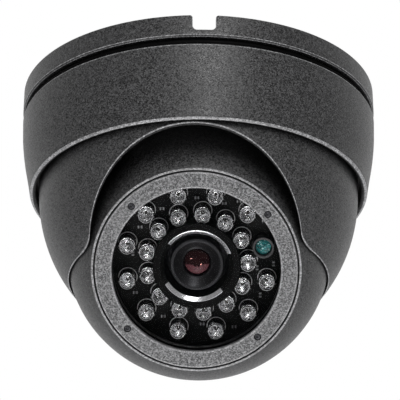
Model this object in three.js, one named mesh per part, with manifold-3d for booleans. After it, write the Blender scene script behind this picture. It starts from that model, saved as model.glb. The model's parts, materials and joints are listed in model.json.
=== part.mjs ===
// Dome camera: a turret ("eyeball") security camera that hangs from a ceiling.
// Millimetres. +Z is up, z = 0 is the ceiling face of the base, the camera hangs below it and its
// hood faces -Y. A ceiling base carries a screwed clamp ring; the ring holds a hood that pans about
// the vertical axis; a strap bracket tilts in the hood; the eyeball rolls in the bracket.
import * as THREE from "three";
import { mergeVertices } from "three/addons/utils/BufferGeometryUtils.js";
import Module from "manifold-3d";

const wasm = await Module();
wasm.setup();

// ---------------------------------------------------------------- driving dimensions
const GAP = 0.3;                  // clearance between neighbouring pieces
const SEGMENTS = 36;              // facets round a large turned part

const BASE_R = 46.95;             // widest radius of the ceiling base
const BASE_DRAFT = 0.25;          // the base wall narrows by this towards the ceiling
const BASE_H = 6.4;               // height of the base wall
const TRAY_DEPTH = 4.7;           // depth of the hollow on the ceiling side
const BASE_WALL = 2.2;
const CABLE_HOLE_R = 11.5;        // hole through the base plate, closed by a membrane grommet
const CABLE_BORE_R = 3.2;         // the grommet's own hole, towards the front
const CABLE_BORE_Y = -4.5;
const SCREW_CIRCLE_R = 33;        // ceiling screws
const SCREW_HOLE_R = 2.2;
const SCREW_SINK_R = 4.4;         // countersink, on the room side
const SCREW_BOSS_R = 4.6;
const NOTCH_W = 6.5;              // side exit for the cable in the base wall
const NOTCH_D = 4.5;
const NOTCH_CORNER = 1.2;
const NOTCH_BROW = 0.7;           // rounding of the notch's two upper corners
const NOTCH_TURN = 4.2;           // degrees from -Y towards +X

const GROOVE_H = 2.1;             // shadow groove between base and clamp ring
const SEAL_R = 46.05;             // rubber seal in the groove
const COLLAR_R = 43.9;            // threaded collar under the base plate
const COLLAR_BORE = 41.4;
const COLLAR_END = -20.8;
const THREAD_PITCH = 2;
const THREAD_TOP = -10;
const THREAD_H = 0.5;

const RING_TOP_R = 47;            // clamp ring
const RING_LIP_R = 45.25;
const RING_BORE = 44.8;
const RING_MOUTH_R = 43.4;
const RING_TOP = -(BASE_H + GROOVE_H);
const RING_BOTTOM = -29.9;
const RING_SHELF = -26.1;
const LOCK_SCREW_Z = -18.6;
const LOCK_SCREW_R = 1.5;
const LOCK_SCREW_TIP = 44.15;     // its two ends, as distances from the pan axis
const LOCK_SCREW_HEAD = 46.4;
const LOCK_KEY_R = 0.85;
const LOCK_KEY_DEPTH = 1.1;

const HOOD_R = 42.6;              // hood: a sphere centred on HOOD_Z
const HOOD_Z = -30.7;
const HOOD_WALL = 1.6;
const HOOD_TOP = -23.4;
const HOOD_RIM = -55.3;           // level lower edge of the hood
const FLANGE_R = 44.35;
const FLANGE_H = 2.4;
const ARCH_HALF_W = 28.2;         // half-elliptical opening in the front of the hood
const ARCH_TOP = -29.9;
const ARCH_FILLET = 2.6;
const STOP_HALF_W = 1.6;          // pan stop lugs: one on the collar, one on the hood
const STOP_INNER = 39;
const STOP_RISE = 6;
const LUG_INNER = 39.2;
const LUG_RISE = 6.5;

const BALL_R = 35.4;              // eyeball: a sphere centred on BALL_Z
const BALL_Z = -45.8;
const BALL_WALL = 2.2;
const SEAT_GAP = 0.35;            // between the eyeball and its seat in the hood
const LENS_DEPRESSION = 42;       // degrees below the horizontal as it hangs
const ROLL_AT_REST = -3.2;        // degrees that the eyeball sits turned about the lens axis

// along the lens axis, measured from the ball's centre
const FACE_Z = 21.8;              // rim of the eyeball round the bezel
const FACE_R = 27.9;
const BEZEL_R = 27;
const BEZEL_WINDOW_R = 22.5;
const BEZEL_BACK = 20.4;
const BEZEL_FRONT = 22.2;
const BEZEL_SCREW_R = 24.5;
const BEZEL_SCREW_ANGLES = [41, 136.5, 223.5, 313.5];
const BEZEL_THREAD_R = 0.55;
const BEZEL_HOLE_R = 0.75;
const BEZEL_HEAD_R = 0.85;
const BEZEL_SINK_R = 1;           // counterbore for a screw head
const BEZEL_HEAD_H = 0.5;
const BEZEL_KEY_R = 0.4;
const SPIGOT_R = 27.4;            // counterbore that takes the bezel
const WINDOW_R = 23.3;
const WINDOW_BACK = 18.45;
const WINDOW_FRONT = 20.3;
const LEDGE_TOP = 17.85;
const LEDGE_BOTTOM = 16.3;
const LEDGE_R = 22.4;

const LED_BOARD_FRONT = 10;
const LED_BOARD_R = 25.5;
const BOARD_T = 1.6;
const LED_R = 2.4;
const LED_TIP = 18;
const LED_RINGS = [
  { name: "outer", radius: 19.15, places: 12, first: 17, skipped: 0 },
  { name: "inner", radius: 13.5, places: 13, first: 2.7, skipped: -1 },
];
const PHOTOCELL_AT = [18.1, 14.9];  // radius and angle, in the place that the outer ring skips
const PHOTOCELL_R = 2.05;
const PHOTOCELL_H = 3.5;
const SLEEVE_WALL = 0.65;
const SHROUD_R = 10.9;            // light shield between the LEDs and the lens
const SHROUD_LIP_R = 11.8;
const SHROUD_BORE = 8.7;
const SHROUD_CHAMFER_R = 9.75;    // where the chamfer round the bore meets the front
const SHROUD_LIP_BACK = 17.45;
const SHROUD_FRONT = 18.25;
const LENS_HEAD_R = 7.15;
const LENS_FRONT = 16.6;
const LENS_THREAD_R = 5.9;
const LENS_GLASS_R = 3.5;
const LENS_SEAT_DEPTH = 4.4;      // floor of the pocket behind the front glass
const LENS_HEAD_BACK = 12.6;
const LENS_END = -0.2;
const LOCK_RING_R = 7.9;          // knurled ring that locks the focus, on top of the lens holder
const LOCK_RING_BACK = 9.3;
const LOCK_RING_FRONT = 10.9;
const SENSOR_BOARD_FRONT = -2;
const SENSOR_BOARD_HALF = 19;
const SENSOR_HALF = 4;
const HOLDER_HALF = [10, 8.5];
const POWER_BOARD_FRONT = -14;
const POWER_BOARD_HALF = [13, 16];
const HARNESS_R = 1;
const CONNECTOR_HALF = 9;         // plug between the two rear boards
const CONNECTOR_Y = [11, 15];
const STANDOFF_AT = 16.3;
const STANDOFF_R = 1.8;
const BOARD_HOLE_R = 0.9;
const POST_X = 17.4;              // posts that carry the sensor board
const POST_R = 2.3;

const STRAP_T = 1.15;             // tilt bracket: a strap round the back of the eyeball
const STRAP_W = 6;
const STRAP_R = BALL_R + 0.4;     // inner radius
const HUB_R = 9.5;
const BOSS_R = 5.9;               // hollow boss on the back of the eyeball
const BOSS_BORE = 4.2;
const BOSS_END = -38;
const GLAND_BORE = 2.4;           // rubber gland in the boss, for the camera's lead
const GLAND_CAP_R = 6;
const GLAND_TOP = -31.2;
const PIVOT_R = 1.5;              // trunnion pins of the bracket
const PIVOT_TIP_X = 38.6;
const EAR_POCKET_R = STRAP_W / 2 + 0.7;   // recess in the hood for the strap's end
const EAR_POCKET_END = 37.35;
const NUT_R = 8;                  // slotted nut that keeps the boss in the strap
const NUT_BACK = -37.85;
const NUT_FRONT = -37.05;
const NUT_SLOT_HALF = 0.7;

// ---------------------------------------------------------------- solids
const radians = THREE.MathUtils.degToRad;

/** A closed three.js geometry as a solid, with its faces turned outwards. */
function solid(geometry) {
  geometry.deleteAttribute("normal");
  geometry.deleteAttribute("uv");
  const merged = mergeVertices(geometry, 1e-4);
  const index = merged.index.array;
  const faces = [];
  for (let i = 0; i < index.length; i += 3) {
    const [a, b, c] = [index[i], index[i + 1], index[i + 2]];
    if (a !== b && b !== c && c !== a) faces.push([a, b, c]);
  }
  const corner = (i) => new THREE.Vector3().fromBufferAttribute(merged.attributes.position, i);
  const volume = faces.reduce((sum, [a, b, c]) => sum + corner(a).dot(corner(b).cross(corner(c))), 0);
  const ordered = volume < 0 ? faces.map(([a, b, c]) => [a, c, b]) : faces;
  return new wasm.Manifold(new wasm.Mesh({
    numProp: 3,
    vertProperties: new Float32Array(merged.attributes.position.array),
    triVerts: new Uint32Array(ordered.flat()),
  }));
}

/** A turned solid about Z from a closed outline of [radius, z] points. */
function turned(outline, segments = SEGMENTS) {
  const points = outline.map(([r, z]) => new THREE.Vector2(r, z));
  if (outline[0][0] > 0 || outline.at(-1)[0] > 0) points.push(points[0].clone());
  return solid(new THREE.LatheGeometry(points, segments).rotateX(Math.PI / 2));
}

/** A cylinder along Z between two heights. */
function rod(radius, z0, z1, segments = 24) {
  return turned([[0, z0], [radius, z0], [radius, z1], [0, z1]], segments);
}

/** A ball centred on the origin. */
function sphere(radius, segments) {
  const side = arc(radius, 0, -Math.PI / 2, Math.PI / 2, segments / 2).slice(1, -1);
  return turned([[0, -radius], ...side, [0, radius]], segments);
}

/** A ring along Z between two heights. */
function ring(inner, outer, z0, z1, segments = SEGMENTS) {
  return turned([[inner, z0], [outer, z0], [outer, z1], [inner, z1]], segments);
}

/** A box from its lowest and highest corners. */
function block(low, high) {
  const size = high.map((value, i) => value - low[i]);
  const box = new THREE.BoxGeometry(...size);
  return solid(box.translate(...low.map((value, i) => value + size[i] / 2)));
}

/** A flat outline in XY, as a THREE.Shape, raised from z0 to z1. */
function plate(shape, z0, z1, curveSegments = 3) {
  const depth = z1 - z0;
  const raised = new THREE.ExtrudeGeometry(shape, { depth, bevelEnabled: false, curveSegments });
  return solid(raised.translate(0, 0, z0));
}

/** Points on a sphere's outline, as [radius, z], for angles measured from the level plane. */
function arc(radius, centreZ, from, to, steps) {
  return Array.from({ length: steps + 1 }, (_, i) => {
    const angle = from + ((to - from) * i) / steps;
    return [radius * Math.cos(angle), centreZ + radius * Math.sin(angle)];
  });
}

const cut = (body, ...tools) => tools.reduce((rest, tool) => rest.subtract(tool), body);
const join = (body, ...others) => others.reduce((sum, other) => sum.add(other), body);
const levelAngle = (radius, height) => Math.asin(height / radius);
const polar = (radius, degrees) => [radius * Math.cos(radians(degrees)), radius * Math.sin(radians(degrees))];

/** A square with rounded corners, as a THREE.Shape. */
function roundedRectangle(halfX, halfY, corner) {
  const shape = new THREE.Shape();
  shape.moveTo(-halfX + corner, -halfY);
  shape.lineTo(halfX - corner, -halfY);
  shape.absarc(halfX - corner, -halfY + corner, corner, -Math.PI / 2, 0);
  shape.lineTo(halfX, halfY - corner);
  shape.absarc(halfX - corner, halfY - corner, corner, 0, Math.PI / 2);
  shape.lineTo(-halfX + corner, halfY);
  shape.absarc(-halfX + corner, halfY - corner, corner, Math.PI / 2, Math.PI);
  shape.lineTo(-halfX, -halfY + corner);
  shape.absarc(-halfX + corner, -halfY + corner, corner, Math.PI, 1.5 * Math.PI);
  return shape;
}

// ---------------------------------------------------------------- materials
function material(color, roughness, metalness, opacity = 1) {
  return new THREE.MeshStandardMaterial({ color, roughness, metalness, opacity, transparent: opacity < 1 });
}

const finish = {
  paint: () => material("#54555a", 0.55, 0.5),
  bezelPaint: () => material("#7d7e82", 0.6, 0.45),
  rubber: () => material("#0c0c0d", 0.85, 0),
  nylon: () => material("#d9d6cc", 0.5, 0),
  steel: () => material("#b8bbc0", 0.3, 1),
  blackSteel: () => material("#1b1b1d", 0.4, 0.8),
  clearGlass: () => material("#e9f1f2", 0.02, 0, 0.2),
  lensGlass: () => material("#8c6f86", 0.02, 0, 0.5),
  board: () => material("#0b0d0c", 0.45, 0),
  greenBoard: () => material("#12492f", 0.45, 0),
  led: () => material("#e6e3da", 0.05, 0, 0.45),
  blackPlastic: () => material("#111214", 0.5, 0),
  lensMetal: () => material("#33353a", 0.35, 0.8),
  photocell: () => material("#1f8f8b", 0.3, 0),
  chip: () => material("#2a2530", 0.15, 0.2),
};

const camera = new THREE.Group();

/** Adds a solid to a group as a named mesh. */
function place(group, name, body, look) {
  const { vertProperties, triVerts } = body.getMesh();
  const geometry = new THREE.BufferGeometry();
  geometry.setAttribute("position", new THREE.BufferAttribute(new Float32Array(vertProperties), 3));
  geometry.setIndex(new THREE.BufferAttribute(new Uint32Array(triVerts), 1));
  geometry.computeVertexNormals();
  const mesh = new THREE.Mesh(geometry, look());
  mesh.name = name;
  group.add(mesh);
}

// ---------------------------------------------------------------- ceiling base
/** Outline points of one thread ridge at height z, from a wall at radius out to radius + height. */
function ridge(radius, height, z) {
  return [[radius, z + 0.5], [radius + height, z + 0.2], [radius + height, z - 0.2], [radius, z - 0.5]];
}

/** The cable notch: a rounded slot open to the ceiling, as a block along Y. */
function notchTool() {
  const over = 1;
  const outline = new THREE.Shape();
  const browX = NOTCH_W / 2 + NOTCH_BROW;
  const cornerX = NOTCH_W / 2 - NOTCH_CORNER;
  outline.moveTo(-browX, over);
  outline.lineTo(-browX, 0);
  outline.absarc(-browX, -NOTCH_BROW, NOTCH_BROW, Math.PI / 2, 0, true);
  outline.absarc(-cornerX, -NOTCH_D + NOTCH_CORNER, NOTCH_CORNER, Math.PI, 1.5 * Math.PI);
  outline.lineTo(cornerX, -NOTCH_D);
  outline.absarc(cornerX, -NOTCH_D + NOTCH_CORNER, NOTCH_CORNER, 1.5 * Math.PI, 2 * Math.PI);
  outline.absarc(browX, -NOTCH_BROW, NOTCH_BROW, Math.PI, Math.PI / 2, true);
  outline.lineTo(browX, over);
  const reach = 8;
  return plate(outline, 0, reach).rotate([90, 0, 0]).translate([0, -BASE_R + reach / 2 + 2, 0])
    .rotate([0, 0, NOTCH_TURN]);
}

function mountingBase() {
  const tray = BASE_R - BASE_WALL;
  const threads = [0, 1].flatMap((i) => ridge(COLLAR_R, THREAD_H, THREAD_TOP - i * THREAD_PITCH));
  const body = turned([
    [tray, 0], [BASE_R - BASE_DRAFT, 0], [BASE_R, -BASE_H + 0.5], [BASE_R - 0.35, -BASE_H],
    [COLLAR_R, -BASE_H], ...threads, [COLLAR_R, COLLAR_END], [COLLAR_BORE, COLLAR_END],
    [COLLAR_BORE, -BASE_H], [CABLE_HOLE_R, -BASE_H], [CABLE_HOLE_R, -TRAY_DEPTH], [tray, -TRAY_DEPTH],
  ]);
  const spots = [90, 210, 330].map((angle) => polar(SCREW_CIRCLE_R, angle + NOTCH_TURN));
  const bosses = spots.map(([x, y]) => rod(SCREW_BOSS_R, -TRAY_DEPTH - 0.5, 0, 16).translate([x, y, 0]));
  const holes = spots.map(([x, y]) => turned([
    [0, -BASE_H - 1], [SCREW_SINK_R, -BASE_H - 0.2], [SCREW_HOLE_R, -BASE_H + 2],
    [SCREW_HOLE_R, 1], [0, 1],
  ], 14).translate([x, y, 0]));
  const stop = block([-STOP_HALF_W, STOP_INNER, COLLAR_END],
    [STOP_HALF_W, COLLAR_BORE + 0.5, COLLAR_END + STOP_RISE]);
  return cut(join(body, ...bosses, stop), ...holes, notchTool());
}

function baseSeal() {
  const z = -BASE_H;
  const inner = COLLAR_R + 0.25;
  const outer = SEAL_R - 0.35;
  const [top, bottom] = [z - 0.15, RING_TOP + 0.15];
  return turned([[inner, top], [outer, top], [SEAL_R, (z + RING_TOP) / 2], [outer, bottom], [inner, bottom]]);
}

function cableGrommet() {
  const flange = CABLE_HOLE_R + 1.5;
  const plug = turned([
    [0, -TRAY_DEPTH + 0.8], [flange, -TRAY_DEPTH + 0.8], [flange, -TRAY_DEPTH + 0.1],
    [CABLE_HOLE_R - GAP, -TRAY_DEPTH + 0.1], [CABLE_HOLE_R - GAP, -BASE_H - 0.05],
    [flange, -BASE_H - 0.05], [flange, -BASE_H - 0.5], [0, -BASE_H - 0.5],
  ], 24);
  return cut(plug, rod(CABLE_BORE_R, -BASE_H - 2, 0, 16).translate([0, CABLE_BORE_Y, 0]));
}

function panFrictionRing() {
  return ring(COLLAR_BORE + 0.2, FLANGE_R - 0.2, HOOD_TOP + 0.15, COLLAR_END - 0.15);
}

// ---------------------------------------------------------------- clamp ring
function lockScrewAxis(body) {
  return body.rotate([-90, 0, 0]).translate([0, 0, LOCK_SCREW_Z]);
}

function clampRing() {
  const threads = ridge(RING_BORE, -THREAD_H - 0.1, THREAD_TOP - 0.5 * THREAD_PITCH).reverse();
  const body = turned([
    [RING_TOP_R - 0.35, RING_TOP], [RING_TOP_R, RING_TOP - 0.4], [RING_TOP_R, -14],
    [RING_TOP_R - 0.25, -17.8], [RING_TOP_R - 0.65, -21.2], [RING_TOP_R - 1.2, -24.6],
    [RING_LIP_R, -28.4], [RING_LIP_R - 0.1, -29.2], [RING_LIP_R - 0.35, -29.7],
    [RING_LIP_R - 0.7, RING_BOTTOM], [RING_LIP_R - 1.15, RING_BOTTOM + 0.05],
    [RING_MOUTH_R + 0.15, -29.5], [RING_MOUTH_R, -29.1], [RING_MOUTH_R, RING_SHELF],
    [RING_BORE - 0.1, RING_SHELF], [RING_BORE, -17], ...threads, [RING_BORE, RING_TOP],
  ]);
  return cut(body, lockScrewAxis(rod(LOCK_SCREW_R + 0.2, RING_BORE - 2, RING_TOP_R + 1, 16)));
}

function ringLockScrew() {
  const cone = 0.4;
  const socket = plate(hexagon(LOCK_KEY_R), LOCK_SCREW_HEAD - LOCK_KEY_DEPTH, LOCK_SCREW_HEAD + 1);
  const screw = turned([
    [0, LOCK_SCREW_TIP], [LOCK_SCREW_R - cone, LOCK_SCREW_TIP], [LOCK_SCREW_R, LOCK_SCREW_TIP + cone],
    [LOCK_SCREW_R, LOCK_SCREW_HEAD], [0, LOCK_SCREW_HEAD],
  ], 16);
  return lockScrewAxis(cut(screw, socket));
}

function hexagon(radius) {
  const corners = [0, 1, 2, 3, 4, 5].map((i) => new THREE.Vector2(...polar(radius, 60 * i)));
  return new THREE.Shape(corners);
}

// ---------------------------------------------------------------- hood
/** The opening that the eyeball looks through, with its lower corners rounded into the rim. */
function archTool() {
  const height = ARCH_TOP - HOOD_RIM;
  const low = -2;
  const f = ARCH_FILLET;
  const footX = ARCH_HALF_W * Math.sqrt(1 - (f / height) ** 2);
  const outline = new THREE.Shape();
  outline.moveTo(footX + f, low);
  outline.lineTo(footX + f, 0);
  outline.absarc(footX + f, f, f, 1.5 * Math.PI, Math.PI, true);
  const start = Math.asin(f / height);
  outline.absellipse(0, 0, ARCH_HALF_W, height, start, Math.PI - start, false, 0);
  outline.absarc(-footX - f, f, f, 0, -Math.PI / 2, true);
  outline.lineTo(-footX - f, low);
  const reach = 46;
  return plate(outline, 0, reach, 20).rotate([90, 0, 0]).translate([0, -4, HOOD_RIM]);
}

function hood() {
  const inner = HOOD_R - HOOD_WALL;
  const seat = BALL_R + SEAT_GAP;
  const lift = HOOD_Z - BALL_Z;
  const meetHeight = (inner ** 2 - seat ** 2 + lift ** 2) / (2 * lift);
  const rimAngle = levelAngle(HOOD_R, HOOD_RIM - HOOD_Z);
  const flangeBottom = HOOD_TOP - FLANGE_H;
  const shell = turned([
    [inner, HOOD_TOP], [FLANGE_R, HOOD_TOP], [FLANGE_R, flangeBottom], [HOOD_R, flangeBottom],
    ...arc(HOOD_R, HOOD_Z, 0, rimAngle, 6),
    ...arc(seat, BALL_Z, levelAngle(seat, HOOD_RIM - BALL_Z), levelAngle(seat, lift - meetHeight), 2),
    ...arc(inner, HOOD_Z, levelAngle(inner, -meetHeight), 0, 4).slice(1),
  ], 40);
  const pockets = [-1, 1].flatMap((side) => [
    rod(EAR_POCKET_R, seat - 3, EAR_POCKET_END, 24),
    rod(PIVOT_R + 0.12, EAR_POCKET_END - 0.3, PIVOT_TIP_X + GAP, 20),
  ].map((tool) => tool.rotate([0, 90 * side, 0]).translate([0, 0, BALL_Z])));
  const lugRoot = HOOD_TOP - 1.5;
  const stop = block([-STOP_HALF_W, -inner + 0.1, lugRoot], [STOP_HALF_W, -LUG_INNER, HOOD_TOP + LUG_RISE]);
  const bridge = block([-STOP_HALF_W, -inner - 0.4, lugRoot], [STOP_HALF_W, -LUG_INNER, HOOD_TOP - 0.2]);
  return cut(join(shell, stop, bridge), archTool(), ...pockets);
}

// ---------------------------------------------------------------- tilt bracket
function tiltBracket() {
  const outer = STRAP_R + STRAP_T;
  const half = STRAP_W / 2;
  const band = ring(STRAP_R, outer, -half, half, 32).rotate([90, 0, 0]);
  const ears = rod(half, -outer - 1, outer + 1, 24).rotate([0, 90, 0]);
  const behind = block([-outer - 1, -half - 1, -outer - 1], [outer + 1, half + 1, 0]);
  const hubAngle = (radius) => -Math.acos(HUB_R / radius);
  const holeAngle = (radius) => -Math.acos((BOSS_R + 0.2) / radius);
  const hub = turned([
    ...arc(outer, 0, hubAngle(outer), holeAngle(outer), 2),
    ...arc(STRAP_R, 0, holeAngle(STRAP_R), hubAngle(STRAP_R), 2),
  ], 32);
  const bore = rod(BOSS_R + 0.2, -outer - 1, -30, 32);
  const pivots = rod(PIVOT_R + 0.1, -outer - 1, outer + 1, 20).rotate([0, 90, 0]);
  return cut(join(band.intersect(join(ears, behind)), hub), bore, pivots);
}

function pivotPin(side) {
  return turned([
    [0, STRAP_R + 0.1], [PIVOT_R, STRAP_R + 0.1], [PIVOT_R, PIVOT_TIP_X - 0.3], [PIVOT_R - 0.3, PIVOT_TIP_X],
    [0, PIVOT_TIP_X],
  ], 16).rotate([0, 90 * side, 0]);
}

// ---------------------------------------------------------------- eyeball shell
function eyeballHousing() {
  const inner = BALL_R - BALL_WALL;
  const bossTop = -Math.sqrt(BALL_R ** 2 - BOSS_R ** 2);
  const boreTop = -Math.sqrt(inner ** 2 - BOSS_BORE ** 2);
  const pocket = WINDOW_R + GAP;
  const inside = LEDGE_BOTTOM - 2;
  const body = turned([
    [SPIGOT_R, FACE_Z], [FACE_R, FACE_Z],
    ...arc(BALL_R, 0, levelAngle(BALL_R, FACE_Z), levelAngle(BALL_R, bossTop), 10).slice(1),
    [BOSS_R, BOSS_END], [BOSS_BORE, BOSS_END], [BOSS_BORE, boreTop],
    ...arc(inner, 0, levelAngle(inner, boreTop), levelAngle(inner, inside), 6).slice(1),
    [LEDGE_R, LEDGE_BOTTOM], [LEDGE_R, LEDGE_TOP], [pocket, LEDGE_TOP], [pocket, BEZEL_BACK - 0.15],
    [SPIGOT_R, BEZEL_BACK - 0.15],
  ]);
  const room = sphere(inner + 1, 24);
  const postTop = SENSOR_BOARD_FRONT - BOARD_T - 0.15;
  const posts = [-1, 1].map((side) =>
    rod(POST_R, -BALL_R, postTop, 12).translate([side * POST_X, 0, 0]).intersect(room));
  const holes = BEZEL_SCREW_ANGLES.map((angle) =>
    rod(BEZEL_HOLE_R, LEDGE_BOTTOM + 0.3, BEZEL_BACK + 1, 8).translate([...polar(BEZEL_SCREW_R, angle), 0]));
  return cut(join(body, ...posts), ...holes);
}

function bezelRing() {
  const body = turned([
    [BEZEL_WINDOW_R, BEZEL_BACK], [BEZEL_R, BEZEL_BACK], [BEZEL_R, BEZEL_FRONT - 0.25],
    [BEZEL_R - 0.25, BEZEL_FRONT], [BEZEL_WINDOW_R + 0.3, BEZEL_FRONT], [BEZEL_WINDOW_R, BEZEL_FRONT - 0.2],
  ]);
  const holes = BEZEL_SCREW_ANGLES.flatMap((angle) => [
    rod(BEZEL_HOLE_R, BEZEL_BACK - 1, BEZEL_FRONT + 1, 8),
    rod(BEZEL_SINK_R, BEZEL_FRONT - BEZEL_HEAD_H - 0.4, BEZEL_FRONT + 1, 12),
  ].map((tool) => tool.translate([...polar(BEZEL_SCREW_R, angle), 0])));
  return cut(body, ...holes);
}

function bezelScrew(angle) {
  const head = BEZEL_FRONT - 0.3;
  const body = turned([
    [0, LEDGE_BOTTOM + 0.6], [BEZEL_THREAD_R, LEDGE_BOTTOM + 0.9], [BEZEL_THREAD_R, head - BEZEL_HEAD_H],
    [BEZEL_HEAD_R, head - BEZEL_HEAD_H], [BEZEL_HEAD_R, head], [0, head],
  ], 10);
  const socket = plate(hexagon(BEZEL_KEY_R), head - 0.35, head + 1);
  return cut(body, socket).translate([...polar(BEZEL_SCREW_R, angle), 0]);
}

const frontWindow = () => rod(WINDOW_R, WINDOW_BACK, WINDOW_FRONT, SEGMENTS);
const windowGasket = () => ring(LEDGE_R + 0.1, WINDOW_R, LEDGE_TOP + 0.05, WINDOW_BACK - 0.05);

function bracketNut() {
  const slotFloor = (NUT_BACK + NUT_FRONT) / 2;
  const slot = block([-NUT_R - 1, -NUT_SLOT_HALF, NUT_BACK - 1], [NUT_R + 1, NUT_SLOT_HALF, slotFloor]);
  return cut(ring(BOSS_R + 0.2, NUT_R, NUT_BACK, NUT_FRONT, 24), slot, slot.rotate([0, 0, 90]));
}

function cableGland() {
  const plug = BOSS_BORE - 0.2;
  const end = BOSS_END + GAP;
  return turned([
    [GLAND_BORE, GLAND_TOP], [GLAND_CAP_R, GLAND_TOP], [GLAND_CAP_R, GLAND_TOP - 0.8],
    [plug, GLAND_TOP - 1.4], [plug, end], [GLAND_BORE, end],
  ], 24);
}

// ---------------------------------------------------------------- inside the eyeball
function ledBoard() {
  const back = LED_BOARD_FRONT - BOARD_T;
  const bores = ring(SHROUD_R + 0.3, LED_BOARD_R, back, LED_BOARD_FRONT);
  const screws = standoffSpots().map(([x, y]) =>
    rod(BOARD_HOLE_R, back - 1, LED_BOARD_FRONT + 1, 10).translate([x, y, 0]));
  return cut(bores, ...screws);
}

function led() {
  const dome = LED_TIP - LED_R;
  const foot = LED_BOARD_FRONT + 0.1;
  const crown = arc(LED_R, dome, 0, Math.PI / 2, 3).slice(0, -1);
  return turned([[0, foot], [LED_R, foot], ...crown, [0, LED_TIP]], 8);
}

const photocell = () => rod(PHOTOCELL_R, LED_BOARD_FRONT + 0.1, LED_BOARD_FRONT + PHOTOCELL_H + 0.1, 20);

function photocellSleeve() {
  const bore = PHOTOCELL_R + 0.2;
  return ring(bore, bore + SLEEVE_WALL, LED_BOARD_FRONT + 0.1, LED_BOARD_FRONT + PHOTOCELL_H + 0.9, 20);
}

function lensShroud() {
  const back = LED_BOARD_FRONT - BOARD_T + 0.2;
  return turned([
    [SHROUD_BORE, back], [SHROUD_R, back], [SHROUD_R, SHROUD_LIP_BACK - 0.85],
    [SHROUD_LIP_R, SHROUD_LIP_BACK], [SHROUD_LIP_R, SHROUD_FRONT - 0.2], [SHROUD_LIP_R - 0.2, SHROUD_FRONT],
    [SHROUD_CHAMFER_R, SHROUD_FRONT], [SHROUD_BORE, SHROUD_FRONT - 0.85],
  ], 28);
}

function lensBarrel() {
  const floor = LENS_FRONT - LENS_SEAT_DEPTH;
  return turned([
    [0, LENS_END], [LENS_THREAD_R, LENS_END], [LENS_THREAD_R, LENS_HEAD_BACK], [LENS_HEAD_R, LENS_HEAD_BACK],
    [LENS_HEAD_R, LENS_FRONT - 0.2], [LENS_HEAD_R - 0.2, LENS_FRONT], [LENS_HEAD_R - 0.9, LENS_FRONT],
    [LENS_GLASS_R + 0.9, LENS_FRONT - 1.7], [LENS_GLASS_R + GAP, LENS_FRONT - 2.1],
    [LENS_GLASS_R + GAP, floor], [0, floor],
  ], 24);
}

function lensFrontGlass() {
  const edge = LENS_FRONT - 2.6;
  const bulge = 0.9;
  const radius = (LENS_GLASS_R ** 2 + bulge ** 2) / (2 * bulge);
  const start = Math.acos(LENS_GLASS_R / radius);
  const dome = arc(radius, edge + bulge - radius, start, Math.PI / 2, 3).slice(0, -1);
  return turned([[0, edge - 1.5], [LENS_GLASS_R, edge - 1.5], ...dome, [0, edge + bulge]], 16);
}

const lensLockRing = () => ring(LENS_THREAD_R + 0.1, LOCK_RING_R, LOCK_RING_BACK, LOCK_RING_FRONT, 24);

function lensHolder() {
  const footing = SENSOR_BOARD_FRONT + 0.15;
  const foot = plate(roundedRectangle(...HOLDER_HALF, 1), footing, footing + 2.25);
  const tower = rod(LOCK_RING_R, SENSOR_BOARD_FRONT + 2, LOCK_RING_BACK - 0.2, 20);
  const room = SENSOR_HALF + 1;
  const sensorRoom = block([-room, -room, SENSOR_BOARD_FRONT - 1], [room, room, SENSOR_BOARD_FRONT + 1.6]);
  return cut(join(foot, tower), rod(LENS_THREAD_R + 0.2, SENSOR_BOARD_FRONT, 10, 20), sensorRoom);
}

function imageSensor() {
  const half = SENSOR_HALF;
  return block([-half, -half, SENSOR_BOARD_FRONT + 0.1], [half, half, SENSOR_BOARD_FRONT + 1.2]);
}

function standoffSpots() {
  const a = STANDOFF_AT;
  return [[a, a], [-a, a], [0, -a * Math.SQRT2]];
}

function sensorBoard() {
  const back = SENSOR_BOARD_FRONT - BOARD_T;
  const half = SENSOR_BOARD_HALF;
  const tongue = plate(roundedRectangle(4, 5, 1), back, SENSOR_BOARD_FRONT).translate([0, -half - 1, 0]);
  return join(plate(roundedRectangle(half, half, 2), back, SENSOR_BOARD_FRONT), tongue);
}

function powerBoard() {
  return plate(roundedRectangle(...POWER_BOARD_HALF, 2), POWER_BOARD_FRONT - BOARD_T, POWER_BOARD_FRONT);
}

function standoff([x, y]) {
  return rod(STANDOFF_R, SENSOR_BOARD_FRONT + 0.1, LED_BOARD_FRONT - BOARD_T - 0.1, 6).translate([x, y, 0]);
}

function boardConnector() {
  const [low, high] = CONNECTOR_Y;
  return block([-CONNECTOR_HALF, low, POWER_BOARD_FRONT + 0.1],
    [CONNECTOR_HALF, high, SENSOR_BOARD_FRONT - BOARD_T - 0.1]);
}

/** The lead that feeds the LED board from the board behind it. */
function ledHarness() {
  const route = new THREE.CatmullRomCurve3([
    [17, -9, SENSOR_BOARD_FRONT + 1.3], [18.5, -9.5, SENSOR_BOARD_FRONT + 3.4], [21.5, -10, 2.6],
    [21, -9.5, 5.6], [19.5, -9, LED_BOARD_FRONT - BOARD_T - 1.2],
  ].map((point) => new THREE.Vector3(...point)));
  const section = new THREE.Shape().absarc(0, 0, HARNESS_R, 0, 2 * Math.PI);
  const along = { steps: 9, curveSegments: 3, bevelEnabled: false, extrudePath: route };
  return solid(new THREE.ExtrudeGeometry(section, along));
}

// ---------------------------------------------------------------- assembly
place(camera, "mounting_base", mountingBase(), finish.paint);
place(camera, "base_seal", baseSeal(), finish.rubber);
place(camera, "cable_grommet", cableGrommet(), finish.rubber);
place(camera, "pan_friction_ring", panFrictionRing(), finish.nylon);
place(camera, "clamp_ring", clampRing(), finish.paint);
place(camera, "ring_lock_screw", ringLockScrew(), finish.blackSteel);
place(camera, "hood", hood(), finish.paint);

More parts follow.
